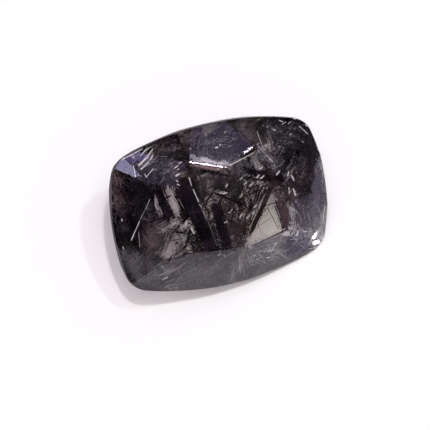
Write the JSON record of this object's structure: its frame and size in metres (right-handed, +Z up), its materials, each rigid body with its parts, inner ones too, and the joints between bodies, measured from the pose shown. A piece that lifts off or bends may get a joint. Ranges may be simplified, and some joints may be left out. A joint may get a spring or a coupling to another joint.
{
  "type": "cut gemstone",
  "caption": "Loose cushion-cut faceted gemstone of see-through quartz with bundles of dark needles sealed in it, lying over on a lower facet.",
  "frame": {"origin": "on the surface that the stone lies on, under the middle of its bounding box", "axes": "+Z up, +X along the stone's length as seen from above, +Y across it"},
  "size_m": [0.014, 0.0086, 0.0076],
  "materials": {
    "quartz": "polished",
    "needles": "polished"
  },
  "bodies": {
    "root": {"cut_quartz": "quartz", "cut_quartz_crown": "quartz", "needles_left": "needles", "needles_right": "needles", "needles_middle": "needles", "needles_low": "needles", "needles_upper": "needles", "needles_crossing": "needles", "needles_bar": "needles", "needles_end": "needles"}
  },
  "joints": []
}
